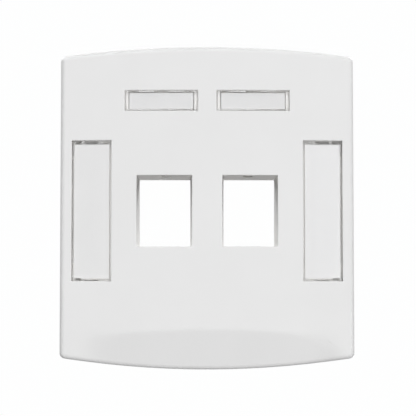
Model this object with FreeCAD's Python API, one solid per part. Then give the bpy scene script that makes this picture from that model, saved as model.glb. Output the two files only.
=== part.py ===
import FreeCAD, Part
import math
import os

from FreeCAD import Vector as V

# Wall plate for two snap-in modules, with clear label windows.
# Millimetres. +X to the right seen from the front, +Z up, the front faces -Y.
# Origin: midway between the two fixing screws, on the wall plane Y = 0.

# ---------------------------------------------------------------- driving dimensions
PLATE_W = 80.4          # overall width, straight sides
TOP_Z = 45.18           # apex of the arched top edge
BOT_Z = -43.21          # apex of the arched bottom edge
TOP_R = 322.0           # radius of the top edge, seen from the front
BOT_R = 251.0           # radius of the bottom edge
CORNER_R = 1.55         # rounding of the four outline corners
DEPTH = 9.5             # front skin's height over the wall at the middle
FACE_R = 534.0          # the front is bowed about a vertical axis
EDGE_TOP_R = 1.5        # rounding along the top front edge
EDGE_R = 1.45           # rounding along the other front edges
SKIN_T = 2.2            # thickness of the front skin
WALL_T = 2.0            # thickness of the rim

BEVEL_Z = -32.24        # apex of the lower bevel's upper boundary
BEVEL_M = 0.338         # slope of the bevel against the face

PORT_X = 11.73          # centres of the two ports at +-X
PORT_W = 15.1           # opening at the front
PORT_H = 19.5
PORT_TAPER_OUT = 0.61   # how far each wall leans in over the depth of the sleeve: outer side wall
PORT_TAPER_IN = 0.44    # side wall next to the middle of the plate
PORT_TAPER_TOP = 0.65
PORT_TAPER_BOT = 0.35
PORT_R = 0.18           # corner rounding in the sleeve
PORT_WALL = 1.5
RIM_PORT_R = 0.25       # rounding of the port's front rim
RIM_R = 0.28            # rounding of the window recesses' rims
LATCH_W = 2.6           # latch slots in the sleeve's top and bottom walls
LATCH_OFF = 0.6         # their offset from the port's centre, towards the middle of the plate
LATCH_Y0 = -8.2
LATCH_Y1 = -5.6

LABEL_X = 12.57         # small windows: centres at +-X
LABEL_Z = 30.285
LABEL_W = 19.9          # opening
LABEL_H = 5.57
LABEL_SINK = 2.3        # depth of the recess below the face
LABEL_SEAT_X = 9.01     # a step under each end of the small window, from here
LABEL_SEAT_END = 9.62   # to here
CARD_W = 17.46          # label card behind a small window
CARD_TOP = 0.66         # its distances from the recess's upper and lower walls
CARD_BOT = 0.52

SIDE_X = 31.61          # tall windows: centres at +-X
SIDE_W = 10.72          # opening
SIDE_TOP_Z = 19.3
SIDE_BOT_Z = -19.12
SIDE_FLOOR_Y = -4.0     # floor of the recess, seat of the screw head
SIDE_FLOOR_T = 1.8

GAP = 0.20              # play round a window
GAP_TOP = 0.60          # wider gap over a tall window, for prying it out
SKIRT_T = 0.28          # clip skirt along the outer edge of a tall window
FLUSH = 0.10            # windows sit this far below the face
WINDOW_T = 0.75         # thickness of a clear window
CARD_GAP = 0.03         # from a window's back to its card
CARD_T = 0.18           # thickness of a card
LEDGE_SINK = 1.10       # depth of the ledges that a card lies on

SCREW_X = 30.15         # fixing centres at +-X, 60.3 apart
SCREW_R = 1.75          # M3.5 thread, major radius
NECK_R = 1.55
SCREW_TIP_Y = 21.0
HEAD_R = 2.9
HEAD_H = 2.3
SLOT_W = 3.9            # adjusting slot for a screw
SLOT_L = 4.5


# ---------------------------------------------------------------- helpers
def box(x0, x1, y0, y1, z0, z1):
    return Part.makeBox(x1 - x0, y1 - y0, z1 - z0, V(x0, y0, z0))


def rod(x, z, r, y0, y1):
    return Part.makeCylinder(r, y1 - y0, V(x, y0, z), V(0, 1, 0))


def mirror(shape):
    return shape.mirror(V(0, 0, 0), V(1, 0, 0))


def face_y(x):
    return -DEPTH + FACE_R - math.sqrt(FACE_R ** 2 - x ** 2)


def behind(sink):
    """All the space behind the bowed face, sunk by sink."""
    return Part.makeCylinder(FACE_R - sink, 120, V(0, -DEPTH + FACE_R, -60), V(0, 0, 1))


def shell(x0, x1, z0, z1, front, back):
    """Bowed sheet that follows the face, between two depths below it."""
    return box(x0, x1, -12, -4, z0, z1).common(behind(front)).cut(behind(back)).Solids[0]


def pocket(x0, x1, z0, z1, sink):
    """Cut from the front down to a depth that follows the face."""
    return box(x0, x1, -12, 0, z0, z1).cut(behind(sink))


def smooth(a, b, t):
    t = min(1.0, max(0.0, (t - a) / (b - a)))
    return t * t * (3 - 2 * t)


def outline(inset, y):
    """Closed outline of the plate in the plane Y = y, moved in by inset."""
    hw = PLATE_W / 2 - inset
    zt, zb = TOP_Z - inset, BOT_Z + inset
    rt, rb = TOP_R - inset, BOT_R - inset
    ct = zt - (rt - math.sqrt(rt ** 2 - hw ** 2))
    cb = zb + (rb - math.sqrt(rb ** 2 - hw ** 2))
    tl, tr = V(-hw, y, ct), V(hw, y, ct)
    bl, br = V(-hw, y, cb), V(hw, y, cb)
    return Part.Wire(
        [
            Part.Arc(tl, V(0, y, zt), tr).toShape(),
            Part.LineSegment(tr, br).toShape(),
            Part.Arc(br, V(0, y, zb), bl).toShape(),
            Part.LineSegment(bl, tl).toShape(),
        ]
    )


def bevel_z(x):
    """Upper boundary of the lower bevel: a shallow arch that dives at both corners."""
    a = abs(x)
    extra = 2.3 * (max(0.0, a - 30.0) / 5.4) ** 2.2
    return BEVEL_Z - 3.40 * (a / 40.0) ** 2 - 7.0 * math.tanh(extra / 7.0)


def front_y(x, z):
    """Front skin: bowed face, with the lower bevel that fades out at its two ends."""
    a = abs(x)
    soft = 0.22 + 1.5 * smooth(22.0, 38.0, a)
    slope = BEVEL_M - 0.13 * smooth(28.0, 40.0, a)
    t = (bevel_z(x) - z) / soft
    ramp = t if t > 30 else math.log1p(math.exp(t)) if t > -30 else 0.0
    return face_y(x) + slope * soft * ramp


def front_surface():
    """Front skin as one smooth surface. Its rows follow the bevel's boundary."""
    xs = [-41.0 + 41.0 * i / 21.0 for i in range(43)]
    up = [1, 0.8, 0.62, 0.47, 0.34, 0.24, 0.165, 0.11, 0.075, 0.05, 0.034, 0.023, 0.0145, 0.009,
          0.0055, 0.0026]
    down = [0, 0.02, 0.045, 0.08, 0.125, 0.19, 0.28, 0.4, 0.55, 0.75, 1]
    poles = []
    for x in xs:
        zb = bevel_z(x)
        zs = [zb + (TOP_Z + 0.9 - zb) * k for k in up] + [zb - (zb - BOT_Z + 1.2) * k for k in down]
        poles.append([V(x, front_y(x, z), z) for z in zs])

    def knots(n):
        k = n - 2
        return list(range(k)), [4] + [1] * (k - 2) + [4]

    uk, um = knots(len(xs))
    vk, vm = knots(len(poles[0]))
    s = Part.BSplineSurface()
    s.buildFromPolesMultsKnots(poles, um, vm, [float(k) for k in uk],
                               [float(k) for k in vk], False, False, 3, 3)
    return s


def fillet_by(shape, radii):
    """Round edges of one solid, each with its own radius: radii maps edge number to radius."""
    doc = FreeCAD.newDocument("rounding")
    base = doc.addObject("Part::Feature", "base")
    base.Shape = shape
    f = doc.addObject("Part::Fillet", "round")
    f.Base = base
    f.Edges = [(i, r, r) for i, r in sorted(radii.items())]
    doc.recompute()
    out = f.Shape.copy()
    FreeCAD.closeDocument(doc.Name)
    if out.isNull() or not out.isValid() or not out.Solids:
        raise RuntimeError("edge rounding failed")
    return out.Solids[0]


def wedge_rect(x0, x1, top, bot, y0, y1, r):
    """Tapered four-sided plug along Y, with its four long edges rounded. Pairs hold the value at y0 and at y1."""
    s = Part.makeWedge(x0[0], y0, bot[0], bot[1], x0[1], x1[0], y1, top[0], top[1], x1[1])
    long_edges = [e for e in s.Edges if abs(e.Vertexes[0].Y - e.Vertexes[1].Y) > 1]
    return s.makeFillet(r, long_edges)


# ---------------------------------------------------------------- faceplate
def outer_body():
    blank = Part.Face(outline(0, 0)).extrude(V(0, -16, 0))
    front = front_surface().toShape()
    waste = front.extrude(V(0, -30, 0))
    body = blank.cut(waste).Solids[0]
    radii = {}
    for i, e in enumerate(body.Edges, 1):
        b = e.BoundBox
        c = b.Center
        if b.YMax > -1e-6 and b.YLength > 3:
            radii[i] = CORNER_R
        elif b.YMax < -1:
            radii[i] = EDGE_TOP_R if c.z > 30 else EDGE_R
    return fillet_by(body, radii)


def port_plug(x):
    y_front = face_y(PORT_X)
    depth = -y_front

    def lean(edge, y, by):
        """Where a wall that starts at edge on the face has come to at y."""
        return edge + by * (y - y_front) / depth

    y0, y1 = -12.0, 1.0
    left, right = (PORT_TAPER_OUT, PORT_TAPER_IN) if x < 0 else (PORT_TAPER_IN, PORT_TAPER_OUT)

    def both(edge, by):
        return lean(edge, y0, by), lean(edge, y1, by)

    return wedge_rect(both(x - PORT_W / 2, left), both(x + PORT_W / 2, -right),
                      both(PORT_H / 2, -PORT_TAPER_TOP), both(-PORT_H / 2, PORT_TAPER_BOT), y0, y1, PORT_R)


def latch_slot(x, side):
    """Slot in the sleeve's top (side 1) or bottom (side -1) wall, with a pocket behind it for the catch.
    The upper slot of the left port has a sloping back in place of the pocket."""
    y_front = face_y(PORT_X)
    deep = PORT_H / 2 + 1.1
    if side > 0 and x < 0:
        back = [(LATCH_Y1, 8.0), (LATCH_Y1, 9.4), (LATCH_Y1 + 1.5, deep)]
    else:
        by = PORT_TAPER_TOP if side > 0 else PORT_TAPER_BOT
        lip = PORT_H / 2 - by * (LATCH_Y1 - y_front) / -y_front - 0.02
        back = [(LATCH_Y1, 8.0), (LATCH_Y1, lip), (LATCH_Y1 + 1.6, lip + 0.34), (LATCH_Y1 + 1.6, deep)]
    ring = [(LATCH_Y0, 8.0)] + back + [(LATCH_Y0, deep), (LATCH_Y0, 8.0)]
    face = Part.Face(Part.makePolygon([V(x - LATCH_W / 2, y, z * side) for y, z in ring]))
    return face.extrude(V(LATCH_W, 0, 0))


def slot_plug(x):
    h = SLOT_L / 2 - SLOT_W / 2
    s = box(x - h, x + h, -6, 1, -SLOT_W / 2, SLOT_W / 2)
    return s.fuse([rod(x - h, 0, SLOT_W / 2, -6, 1), rod(x + h, 0, SLOT_W / 2, -6, 1)]).removeSplitter()


def rear_hollow():
    """The space behind the front skin, less everything that stands in it."""
    h = Part.Face(outline(WALL_T, 0)).extrude(V(0, -12, 0))
    bow = Part.makeCylinder(FACE_R - SKIN_T, 120, V(0, -DEPTH + FACE_R, -60), V(0, 0, 1))
    h = h.common(bow)
    # stays behind the lower bevel
    y0 = -DEPTH + SKIN_T
    z1 = -60.0
    cut = Part.Face(Part.makePolygon([
        V(-50, y0 - 0.1, BEVEL_Z + 0.3), V(-50, y0 - 0.1 + BEVEL_M * (BEVEL_Z + 0.3 - z1), z1),
        V(-50, -30, z1), V(-50, -30, BEVEL_Z + 0.3), V(-50, y0 - 0.1, BEVEL_Z + 0.3)]))
    h = h.cut(cut.extrude(V(100, 0, 0)))
    stand = []
    for s in (-1, 1):
        # port sleeve
        x = s * PORT_X
        w = PORT_W / 2 + PORT_WALL
        stand.append(box(x - w, x + w, -12, 1, -PORT_H / 2 - PORT_WALL, PORT_H / 2 + PORT_WALL))
        # small window recess
        x = s * LABEL_X
        w, z = LABEL_W / 2 + 1.4, LABEL_H / 2 + 1.4
        stand.append(box(x - w, x + w, -12, -5.0, LABEL_Z - z, LABEL_Z + z))
        # tall window recess, joined to the rim
        x0, x1 = sorted((s * (SIDE_X - SIDE_W / 2 - 1.6), s * PLATE_W / 2))
        stand.append(box(x0, x1, -12, SIDE_FLOOR_Y + SIDE_FLOOR_T, SIDE_BOT_Z - 1.6, SIDE_TOP_Z + 1.6))
        # pad round the screw, down to the wall
        x0, x1 = sorted((s * (SCREW_X - 5.5), s * (SCREW_X + 5.0)))
        stand.append(box(x0, x1, -5, 1, -5.0, 5.0))
        # ribs between sleeve and recess
        x0, x1 = sorted((s * (PORT_X + PORT_W / 2), s * (SIDE_X - SIDE_W / 2)))
        for z in (-7.0, 7.0):
            stand.append(box(x0, x1, -12, -2.0, z - 0.6, z + 0.6))
    # low stiffening ribs on the back of the skin
    for x in (-24.0, 0.0, 24.0):
        stand.append(box(x - 0.6, x + 0.6, -12, -5.0, PORT_H / 2, 44))
        stand.append(box(x - 0.6, x + 0.6, -12, -5.0, -33.0, -PORT_H / 2))
    stand.append(box(-39, 39, -12, -5.0, -22.6, -21.4))
    # shallow round ejector marks on the back of the skin
    marks = []
    for x, z in ((12.0, 38.8), (12.0, 18.7), (12.0, -16.3), (12.0, -27.8), (32.0, 31.5), (32.0, -28.0)):
        for s in (-1, 1):
            y = face_y(x) + SKIN_T
            marks.append(rod(s * x, z, 1.8, y - 0.15, y + 0.5))
    return h.cut(stand).fuse(marks)


def round_rims(body):
    """Small rounding round every opening in the front skin."""
    skin = max((f for f in body.Faces if "BSpline" in f.Surface.TypeId), key=lambda f: f.Area)
    wires = [w for w in skin.Wires if w.BoundBox.XLength < 60]
    ports = [w for w in wires if abs(w.BoundBox.XLength - PORT_W) < 2 and w.BoundBox.ZLength < 25]
    windows = [w for w in wires if w not in ports]
    for group, r in ((windows, RIM_R), (ports, RIM_PORT_R)):
        body = body.makeFillet(r, [e for w in group for e in fresh_edges(body, w)])
    return body.Solids[0]


def fresh_edges(body, wire):
    """The body's own edges that lie where the wire's edges were."""
    out = []
    for e in wire.Edges:
        m = e.valueAt((e.FirstParameter + e.LastParameter) / 2)
        v = Part.Vertex(m)
        near = [f for f in body.Edges if f.BoundBox.DiagonalLength < 60 and f.distToShape(v)[0] < 3e-3]
        out.append(min(near, key=lambda f: abs(f.Length - e.Length)))
    return out


def build_faceplate():
    body = outer_body().cut(rear_hollow())
    cuts = []
    for s in (-1, 1):
        x = s * PORT_X
        cuts.append(port_plug(x))
        # latch slots in the sleeve's top and bottom walls
        x = s * (PORT_X - LATCH_OFF)
        cuts += [latch_slot(x, 1), latch_slot(x, -1)]
        # small window recess: a groove all round an island that carries the card, deep at both ends
        x = s * LABEL_X
        w, h = LABEL_W / 2, LABEL_H / 2
        recess = pocket(x - w, x + w, LABEL_Z - h, LABEL_Z + h, LABEL_SINK)
        island = box(x - CARD_W / 2 + 0.15, x + CARD_W / 2 - 0.15, -12, 0,
                     LABEL_Z - h + CARD_BOT + 0.15, LABEL_Z + h - CARD_TOP - 0.15).common(behind(LEDGE_SINK))
        lower = box(x - 8.4, x + 8.4, -12, 0, LABEL_Z - h - 1, LABEL_Z).common(behind(1.7))
        lips = [box(x + a, x + b, -12, 0, LABEL_Z + h - 0.4, LABEL_Z + h + 1).common(behind(FLUSH + WINDOW_T + 0.05))
                for a, b in ((-6.2, -2.0), (2.0, 6.2))]
        seats = [box(x + a, x + b, -12, 0, LABEL_Z - h - 1, LABEL_Z + h + 1).common(behind(2.15))
                 for a, b in ((-LABEL_SEAT_END, -LABEL_SEAT_X), (LABEL_SEAT_X, LABEL_SEAT_END))]
        # pads under the window's two ends
        pads = [box(x + a, x + b, -12, 0, LABEL_Z - h - 1, LABEL_Z - h + 0.15).common(behind(0.40))
                for a, b in ((-LABEL_SEAT_END, -LABEL_SEAT_X), (LABEL_SEAT_X, LABEL_SEAT_END))]
        small = recess.cut([island, lower] + lips + seats + pads)
        ends = [pocket(x + a, x + b, LABEL_Z - h, LABEL_Z + h, 3.7)
                for a, b in ((-LABEL_SEAT_X, -CARD_W / 2 + 0.15), (CARD_W / 2 - 0.15, LABEL_SEAT_X))]
        cuts.append(small.fuse(ends).removeSplitter())
        # tall window recess: opening down to the step, then the deep part down to the floor
        xi, xo = SIDE_X - SIDE_W / 2, SIDE_X + SIDE_W / 2
        zt, zb = SIDE_TOP_Z, SIDE_BOT_Z
        tall = [
            pocket(xi, xo, zb, zt, LEDGE_SINK),
            box(xi + 0.74, xo - 0.9, -12, SIDE_FLOOR_Y, zb + 1.0, zt - 1.4),
            # grooves along the inner side, the outer side and the bottom
            pocket(xi, xi + 0.60, zb, zt, 2.1),
            pocket(xo - GAP - SKIRT_T - 0.08, xo, zb, zt, 1.7),
            pocket(xi, xo, zb, zb + 0.62, 1.6),
            # the step over the window is lower, with a notch for the clip lug
            pocket(xi, xo, zt - 1.4, zt, 1.9),
            box(SIDE_X - 1.9, SIDE_X + 1.9, -12, -6.0, zt - 1.6, zt),
            # catch in the upper wall over that notch
            box(SIDE_X - 1.9, SIDE_X + 1.9, -8.0, -5.6, zt - 0.2, zt + 1.0),
            # thumbnail notch below it
            box(SIDE_X - 1.95, SIDE_X + 1.95, -12, -5.7, zb, zb + 0.36),
            # slot for the clip skirt along the outer side, between the open corners
            box(xo - GAP - SKIRT_T - 0.08, xo, -12, -5.2, zb + 2.0, zt - 3.5),
            # open corners
            box(SIDE_X + 2.75, xo, -12, -4.4, zt - 2.2, zt),
            box(xo - 1.2, xo, -12, -4.4, zt - 4.0, zt),
            box(xi, SIDE_X - 2.75, -12, -6.2, zt - 1.6, zt),
            box(xi, xi + 1.2, -12, -6.2, zt - 2.2, zt),
            box(SIDE_X + 2.75, xo, -12, -5.7, zb, zb + 1.2),
            box(xo - 1.6, xo, -12, -5.7, zb, zb + 2.2),
        ]
        t = tall[0].fuse(tall[1:]).removeSplitter()
        cuts.append(t if s > 0 else mirror(t))
        cuts.append(slot_plug(s * SCREW_X))
    body = body.cut(cuts).Solids[0]
    return round_rims(body)


# ---------------------------------------------------------------- clear windows
def window(x0, x1, z0, z1):
    """Clear bowed sheet with a softened front edge."""
    plate = shell(x0, x1, z0, z1, FLUSH, FLUSH + WINDOW_T)
    front = max(plate.Faces, key=lambda f: f.Area if f.CenterOfMass.y < plate.CenterOfMass.y else 0)
    return plate.makeFillet(0.15, front.Edges)


def small_window(x):
    w, h = LABEL_W / 2 - GAP, LABEL_H / 2 - GAP
    plate = window(x - w, x + w, LABEL_Z - h, LABEL_Z + h)
    # snap nubs on both ends
    nubs = []
    for a, b in ((-w - 0.12, -w + 0.2), (w - 0.2, w + 0.12)):
        y = face_y(x + (a + b) / 2) + FLUSH
        nubs.append(box(x + a, x + b, y + 0.3, y + 0.65, LABEL_Z - 0.9, LABEL_Z + 0.9))
    return plate.fuse(nubs).removeSplitter().Solids[0]


def card(x0, x1, z0, z1):
    front = FLUSH + WINDOW_T + CARD_GAP
    return shell(x0, x1, z0, z1, front, front + CARD_T)


def small_card(x):
    h = LABEL_H / 2
    return card(x - CARD_W / 2, x + CARD_W / 2, LABEL_Z - h + CARD_BOT, LABEL_Z + h - CARD_TOP)


def tall_window():
    x0, x1 = SIDE_X - SIDE_W / 2 + GAP, SIDE_X + SIDE_W / 2 - GAP
    z0, z1 = SIDE_BOT_Z + GAP, SIDE_TOP_Z - GAP_TOP
    plate = window(x0, x1, z0, z1)
    y = FLUSH + WINDOW_T - 0.25
    clips = [
        box(SIDE_X - 1.65, SIDE_X + 1.65, face_y(SIDE_X) + y, -6.2, z1 - 0.42, z1),
        box(x1 - SKIRT_T, x1, face_y(x1) + y, -5.4, -14.15, 14.15),
    ]
    return plate.fuse(clips).removeSplitter().Solids[0]


def tall_card():
    # stays clear of the clip lug and skirt
    return card(SIDE_X - 4.84, SIDE_X + 4.68, SIDE_BOT_Z + 0.85, 18.23)


# ---------------------------------------------------------------- fixing screws
def screw(x):
    head = rod(x, 0, HEAD_R, SIDE_FLOOR_Y - HEAD_H, SIDE_FLOOR_Y)
    crown = [e for e in head.Edges if abs(e.BoundBox.YMin - (SIDE_FLOOR_Y - HEAD_H)) < 1e-4
             and e.BoundBox.YLength < 1e-4]
    head = head.makeFillet(0.9, crown)
    y = SIDE_FLOOR_Y - HEAD_H
    cross = [box(x - 2.0, x + 2.0, y - 1, y + 1.3, -0.5, 0.5),
             box(x - 0.5, x + 0.5, y - 1, y + 1.3, -2.0, 2.0)]
    head = head.cut(cross)
    neck = rod(x, 0, NECK_R, SIDE_FLOOR_Y, 0.0)
    shank = rod(x, 0, SCREW_R, 0.0, SCREW_TIP_Y)
    tip = [e for e in shank.Edges if abs(e.BoundBox.YMax - SCREW_TIP_Y) < 1e-4 and e.BoundBox.YLength < 1e-4]
    shank = shank.makeChamfer(0.5, tip)
    return head.fuse([neck, shank]).Solids[0]


def main():
    os.makedirs("parts", exist_ok=True)
    tall = tall_window()
    slip = tall_card()
    parts = {
        "faceplate": build_faceplate(),
        "label_window_left": small_window(-LABEL_X),
        "label_window_right": small_window(LABEL_X),
        "label_card_left": small_card(-LABEL_X),
        "label_card_right": small_card(LABEL_X),
        "screw_cover_left": mirror(tall),
        "screw_cover_right": tall,
        "side_label_left": mirror(slip),
        "side_label_right": slip,
        "fixing_screws": Part.makeCompound([screw(-SCREW_X), screw(SCREW_X)]),
    }
    for name, shape in parts.items():
        b = shape.BoundBox
        print(f"{name}: valid {shape.isValid()}, solids {len(shape.Solids)}, faces {len(shape.Faces)}, "
              f"volume {shape.Volume:.1f} mm3, box {b.XMin:.2f}..{b.XMax:.2f}, "
              f"{b.YMin:.2f}..{b.YMax:.2f}, {b.ZMin:.2f}..{b.ZMax:.2f}")
        shape.exportStep(f"parts/{name}.step")


main()
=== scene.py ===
import math

import bmesh
import bpy
from mathutils import Matrix, Vector


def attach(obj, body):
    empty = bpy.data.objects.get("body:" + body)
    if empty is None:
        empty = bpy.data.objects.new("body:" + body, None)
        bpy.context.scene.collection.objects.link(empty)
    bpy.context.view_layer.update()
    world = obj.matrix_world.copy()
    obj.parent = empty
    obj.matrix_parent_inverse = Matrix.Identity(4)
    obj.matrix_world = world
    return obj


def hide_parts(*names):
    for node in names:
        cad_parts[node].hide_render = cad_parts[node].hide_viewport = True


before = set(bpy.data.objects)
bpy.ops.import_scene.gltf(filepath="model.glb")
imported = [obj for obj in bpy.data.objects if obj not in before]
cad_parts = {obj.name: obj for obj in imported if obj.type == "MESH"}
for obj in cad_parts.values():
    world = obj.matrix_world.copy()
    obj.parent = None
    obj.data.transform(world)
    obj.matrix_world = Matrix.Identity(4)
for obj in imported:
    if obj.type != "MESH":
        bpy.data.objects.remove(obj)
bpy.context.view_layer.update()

scene = bpy.context.scene
MM = 0.001

# ------------------------------------------------------------------ viewing angle of the photograph
CAM_POS = Vector((-4.0, -478.5, -29.8)) * MM
CAM_AIM = Vector((0.22, -9.5, 0.74)) * MM
FOCAL_PX = 1724.8
FRAME_PX = 416.0

# ------------------------------------------------------------------ light
SEEN = 0.994           # the plain white backdrop, as the camera sees it
SHINE = 0.02           # the same surroundings, as a glossy surface mirrors them
# softboxes: name, azimuth, elevation, size, power
BOXES = [("rear_right", 135, 40, 1.0, 61.0), ("rear_left", -135, 40, 1.0, 53.8), ("back_right", 135, 20, 1.0, 13.0),
         ("back_left", -135, 20, 1.0, 10.6), ("high_left", -95, 60, 1.0, 18.8), ("high_front", 0, 60, 1.0, 12.1),
         ("side_right", 50, 40, 1.0, 12.1), ("low_right", 95, -45, 1.0, 16.5)]
# screens in front, polarised so that they don't show in the clear windows: name, azimuth, elevation, size, power
SCREENS = [("front_low", 0, -25, 1.5, 48.0), ("front_high", 0, 25, 1.5, 32.6), ("front", 0, 12, 1.5, 7.0),
           ("front_right", 25, 0, 1.5, 4.0)]
TINT = (0.980, 1.0, 1.035)


def link(nt, a, b):
    nt.links.new(a, b)


def material(name):
    m = bpy.data.materials.new(name)
    m.use_nodes = True
    nt = m.node_tree
    nt.nodes.clear()
    out = nt.nodes.new("ShaderNodeOutputMaterial")
    p = nt.nodes.new("ShaderNodeBsdfPrincipled")
    link(nt, p.outputs[0], out.inputs[0])
    coord = nt.nodes.new("ShaderNodeTexCoord")
    return m, nt, p, out, coord.outputs["Object"]


def noise(nt, coord, scale, detail=3.0, rough=0.5):
    n = nt.nodes.new("ShaderNodeTexNoise")
    n.inputs["Scale"].default_value = scale
    n.inputs["Detail"].default_value = detail
    n.inputs["Roughness"].default_value = rough
    link(nt, coord, n.inputs["Vector"])
    return n.outputs["Fac"]


def ramp(nt, fac, stops):
    r = nt.nodes.new("ShaderNodeValToRGB")
    e = r.color_ramp.elements
    while len(e) < len(stops):
        e.new(0.5)
    for el, (pos, col) in zip(e, stops):
        el.position = pos
        el.color = (*col, 1) if len(col) == 3 else (col[0], col[0], col[0], 1)
    link(nt, fac, r.inputs["Fac"])
    return r.outputs["Color"]


def bump(nt, height, strength, distance, normal=None):
    b = nt.nodes.new("ShaderNodeBump")
    b.inputs["Strength"].default_value = strength
    b.inputs["Distance"].default_value = distance
    link(nt, height, b.inputs["Height"])
    if normal is not None:
        link(nt, normal, b.inputs["Normal"])
    return b.outputs["Normal"]


# ------------------------------------------------------------------ materials
def white_plastic():
    """Moulded white plastic, a trace warm: fine eroded texture, faint cloudiness in tone and gloss."""
    m, nt, p, out, co = material("white_plastic")
    cloud = noise(nt, co, 55.0, 3.0)
    link(nt, ramp(nt, cloud, [(0.3, (0.820, 0.803, 0.775)), (0.7, (0.836, 0.819, 0.791))]), p.inputs["Base Color"])
    grain = noise(nt, co, 5200.0, 2.0, 0.6)
    link(nt, ramp(nt, grain, [(0.3, (0.40,)), (0.7, (0.50,))]), p.inputs["Roughness"])
    n1 = bump(nt, grain, 0.10, 0.00004)
    wave = noise(nt, co, 140.0, 1.0)
    link(nt, bump(nt, wave, 0.05, 0.0001, n1), p.inputs["Normal"])
    p.inputs["IOR"].default_value = 1.50
    return m


def clear_plastic():
    """Clear moulded plastic with a polished face and a few fine flow ripples."""
    m, nt, p, out, co = material("clear_plastic")
    p.inputs["Transmission Weight"].default_value = 1.0
    p.inputs["IOR"].default_value = 1.49
    tint = noise(nt, co, 60.0, 2.0)
    link(nt, ramp(nt, tint, [(0.3, (0.980, 0.980, 0.978)), (0.7, (0.995, 0.995, 0.994))]), p.inputs["Base Color"])
    grain = noise(nt, co, 900.0, 2.0)
    link(nt, ramp(nt, grain, [(0.3, (0.02,)), (0.7, (0.05,))]), p.inputs["Roughness"])
    ripple = noise(nt, co, 160.0, 1.0)
    link(nt, bump(nt, ripple, 0.06, 0.0001), p.inputs["Normal"])
    path = nt.nodes.new("ShaderNodeLightPath")
    clear = nt.nodes.new("ShaderNodeBsdfTransparent")
    clear.inputs["Color"].default_value = (0.97, 0.97, 0.97, 1)
    either = nt.nodes.new("ShaderNodeMath")
    either.operation = "MAXIMUM"
    link(nt, path.outputs["Is Shadow Ray"], either.inputs[0])
    link(nt, path.outputs["Is Diffuse Ray"], either.inputs[1])
    mix = nt.nodes.new("ShaderNodeMixShader")
    link(nt, either.outputs[0], mix.inputs[0])
    link(nt, p.outputs[0], mix.inputs[1])
    link(nt, clear.outputs[0], mix.inputs[2])
    link(nt, mix.outputs[0], out.inputs[0])
    return m


def card(name, low, high):
    """Blank matt card: short fibres in the tone, slightly uneven surface."""
    m, nt, p, out, co = material(name)
    fibre = noise(nt, co, 2600.0, 5.0, 0.65)
    link(nt, ramp(nt, fibre, [(0.35, low), (0.65, high)]), p.inputs["Base Color"])
    link(nt, ramp(nt, fibre, [(0.3, (0.75,)), (0.7, (0.9,))]), p.inputs["Roughness"])
    link(nt, bump(nt, fibre, 0.15, 0.00003), p.inputs["Normal"])
    p.inputs["Specular IOR Level"].default_value = 0.25
    return m


def zinc():
    """Zinc plated steel: bright, slightly bluish, mottled and finely brushed."""
    m, nt, p, out, co = material("zinc_steel")
    p.inputs["Metallic"].default_value = 1.0
    spots = noise(nt, co, 700.0, 4.0)
    link(nt, ramp(nt, spots, [(0.3, (0.62, 0.64, 0.67)), (0.7, (0.78, 0.79, 0.80))]), p.inputs["Base Color"])
    fine = noise(nt, co, 4000.0, 3.0)
    link(nt, ramp(nt, fine, [(0.3, (0.24,)), (0.7, (0.40,))]), p.inputs["Roughness"])
    link(nt, bump(nt, fine, 0.08, 0.00004), p.inputs["Normal"])
    return m


WHITE = white_plastic()
CLEAR = clear_plastic()
CARD = card("label_card", (0.764, 0.749, 0.727), (0.794, 0.778, 0.755))
# painted shade: the left side card is painted slightly darker than the right one, standing in for the weaker light
# on the left
SIDE_CARDS_PAINTED_SHADE = {"left": card("side_label_left", (0.809, 0.791, 0.764), (0.838, 0.820, 0.793)),
              "right": card("side_label_right", (0.821, 0.803, 0.778), (0.851, 0.833, 0.808))}
ZINC = zinc()


def dress(node, m):
    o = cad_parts[node]
    o.data.materials.clear()
    o.data.materials.append(m)


dress("faceplate", WHITE)
for side in ("left", "right"):
    dress("label_window_" + side, CLEAR)
    dress("screw_cover_" + side, CLEAR)
    dress("label_card_" + side, CARD)
    dress("side_label_" + side, SIDE_CARDS_PAINTED_SHADE[side])


# ------------------------------------------------------------------ fixing screws with cut threads
PITCH, MAJOR, MINOR, TIP = 0.6, 1.745, 1.40, 21.0
TURN = 28


def add_thread(bm, cx):
    """Helical thread along +Y from the wall plane to the tip, fading out at the tip."""
    n = int(TIP / PITCH + 2) * TURN
    profile = ((0.0, 0.0), (0.36, 1.0), (0.50, 1.0), (0.86, 0.0))   # along the pitch, thread height
    rows = []
    for i in range(n + 1):
        a = 2 * math.pi * i / TURN
        base = PITCH * (i / TURN - 1.5)
        row = []
        for along, high in profile:
            y = base + along * PITCH
            fade = min(1.0, max(0.0, (TIP - 0.15 - y) / 0.7))
            r = MINOR + (MAJOR - MINOR) * high * fade - 0.25 * (1.0 - fade)
            y = min(TIP, max(-0.4, y))
            row.append(bm.verts.new(((cx + r * math.cos(a)) * MM, y * MM, r * math.sin(a) * MM)))
        rows.append(row)
    for i in range(n):
        for j in range(3):
            quad(bm, rows[i][j], rows[i + 1][j], rows[i + 1][j + 1], rows[i][j + 1])
        if i + TURN < n:
            quad(bm, rows[i][3], rows[i + 1][3], rows[i + 1 + TURN][0], rows[i + TURN][0])
    tip = bm.verts.new((cx * MM, TIP * MM, 0))
    for i in range(n - TURN, n):
        bm.faces.new((tip, rows[i][3], rows[i + 1][3]))


def quad(bm, a, b, c, d):
    if (a.co - c.co).length > 1e-9 and (b.co - d.co).length > 1e-9:
        bm.faces.new((a, b, c, d))


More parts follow.
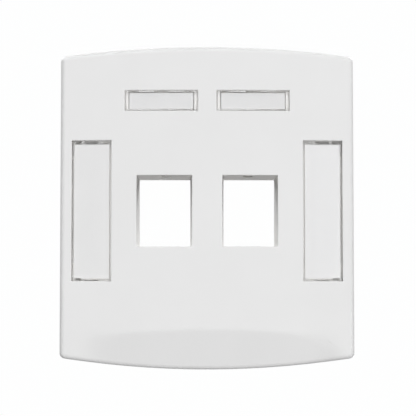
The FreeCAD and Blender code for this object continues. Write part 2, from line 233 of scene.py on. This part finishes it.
bm = bmesh.new()
bm.from_mesh(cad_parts["fixing_screws"].data)
gone = [v for v in bm.verts if v.co.y > 0.2 * MM]
bmesh.ops.delete(bm, geom=gone, context="VERTS")
for cx in (-30.15, 30.15):
    add_thread(bm, cx)
bmesh.ops.remove_doubles(bm, verts=bm.verts, dist=1e-8)
bmesh.ops.dissolve_degenerate(bm, edges=bm.edges, dist=1e-8)
bmesh.ops.recalc_face_normals(bm, faces=bm.faces)
me = bpy.data.meshes.new("threaded_screws")
bm.to_mesh(me)
bm.free()
screws = bpy.data.objects.new("threaded_screws", me)
scene.collection.objects.link(screws)
me.materials.append(ZINC)
for poly in me.polygons:
    poly.use_smooth = True
me.set_sharp_from_angle(angle=math.radians(32))
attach(screws, "plate")
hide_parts("fixing_screws")


# ------------------------------------------------------------------ stage
def plane(name, size, centre, mat):
    bm = bmesh.new()
    bmesh.ops.create_grid(bm, x_segments=1, y_segments=1, size=size / 2)
    me = bpy.data.meshes.new(name)
    bm.to_mesh(me)
    bm.free()
    o = bpy.data.objects.new(name, me)
    scene.collection.objects.link(o)
    o.location = centre
    o.data.materials.append(mat)
    return o


# pale floor with a painted shadow: darker grey under the plate so that its white edges stand out from above
fm, fnt, fp, fout, fco = material("pale_floor_painted_shadow")
painted_shadow_pool = fnt.nodes.new("ShaderNodeTexGradient")
painted_shadow_pool.gradient_type = "QUADRATIC_SPHERE"
wide = fnt.nodes.new("ShaderNodeMapping")
wide.inputs["Scale"].default_value = (0.72, 0.72, 0.72)
link(fnt, fco, wide.inputs["Vector"])
link(fnt, wide.outputs["Vector"], painted_shadow_pool.inputs["Vector"])
# painted shadow: the floor colour runs from pale at the rim to darker grey under the plate
link(fnt, ramp(fnt, painted_shadow_pool.outputs["Fac"], [(0.0, (0.86, 0.86, 0.85)), (0.75, (0.57, 0.57, 0.562))]), fp.inputs["Base Color"])
link(fnt, bump(fnt, noise(fnt, fco, 400.0, 2.0), 0.04, 0.0005), fp.inputs["Normal"])
fp.inputs["Roughness"].default_value = 0.8
fp.inputs["Specular IOR Level"].default_value = 0.1
floor = plane("floor", 3.0, (0, 0, -0.80), fm)
floor.visible_diffuse = False
floor.visible_shadow = False
floor.visible_glossy = False

world = bpy.data.worlds.new("studio")
scene.world = world
world.use_nodes = True
wnt = world.node_tree
wnt.nodes.clear()
wout = wnt.nodes.new("ShaderNodeOutputWorld")
seen = wnt.nodes.new("ShaderNodeBackground")
seen.inputs["Color"].default_value = (0.997, 1, 1, 1)
seen.inputs["Strength"].default_value = SEEN
lit = wnt.nodes.new("ShaderNodeBackground")
lit.inputs["Color"].default_value = (*TINT, 1)
lit.inputs["Strength"].default_value = 0.0
shine = wnt.nodes.new("ShaderNodeBackground")
shine.inputs["Color"].default_value = (*TINT, 1)
shine.inputs["Strength"].default_value = SHINE
wpath = wnt.nodes.new("ShaderNodeLightPath")
looks = wnt.nodes.new("ShaderNodeMath")
looks.operation = "MAXIMUM"
link(wnt, wpath.outputs["Is Camera Ray"], looks.inputs[0])
link(wnt, wpath.outputs["Is Transmission Ray"], looks.inputs[1])
gloss = wnt.nodes.new("ShaderNodeMixShader")
link(wnt, wpath.outputs["Is Glossy Ray"], gloss.inputs[0])
link(wnt, lit.outputs[0], gloss.inputs[1])
link(wnt, shine.outputs[0], gloss.inputs[2])
wmix = wnt.nodes.new("ShaderNodeMixShader")
link(wnt, looks.outputs[0], wmix.inputs[0])
link(wnt, gloss.outputs[0], wmix.inputs[1])
link(wnt, seen.outputs[0], wmix.inputs[2])
link(wnt, wmix.outputs[0], wout.inputs[0])


def toward(azimuth, elevation):
    """Unit vector from the plate to a light. Azimuth 0 is straight in front, positive to the right."""
    az, el = math.radians(azimuth), math.radians(elevation)
    return Vector((math.cos(el) * math.sin(az), -math.cos(el) * math.cos(az), math.sin(el)))


def softbox(name, azimuth, elevation, distance, size, power, mirrored=True):
    """Square soft light, aimed at the plate. Azimuth 0 is straight in front, positive to the right."""
    d = bpy.data.lights.new(name, "AREA")
    d.shape = "SQUARE"
    d.size = size
    d.energy = power
    d.color = TINT
    o = bpy.data.objects.new(name, d)
    scene.collection.objects.link(o)
    to = toward(azimuth, elevation)
    o.location = to * distance
    o.rotation_mode = "QUATERNION"
    o.rotation_quaternion = (-to).to_track_quat("-Z", "Y")
    o.visible_glossy = mirrored
    return o


for name, azimuth, elevation, size, power in BOXES:
    softbox(name, azimuth, elevation, 3.0, size, power)
for name, azimuth, elevation, size, power in SCREENS:
    softbox(name, azimuth, elevation, 3.0, size, power, mirrored=False)

# ------------------------------------------------------------------ camera
cd = bpy.data.cameras.new("camera")
cam = bpy.data.objects.new("camera", cd)
scene.collection.objects.link(cam)
cd.sensor_fit = "HORIZONTAL"
cd.sensor_width = 36.0
cd.lens = FOCAL_PX / FRAME_PX * 36.0
cd.clip_start, cd.clip_end = 0.01, 20.0
cam.location = CAM_POS
cam.rotation_mode = "QUATERNION"
cam.rotation_quaternion = (CAM_AIM - CAM_POS).to_track_quat("-Z", "Y")
scene.camera = cam
scene.view_settings.view_transform = "Standard"
scene.view_settings.look = "None"
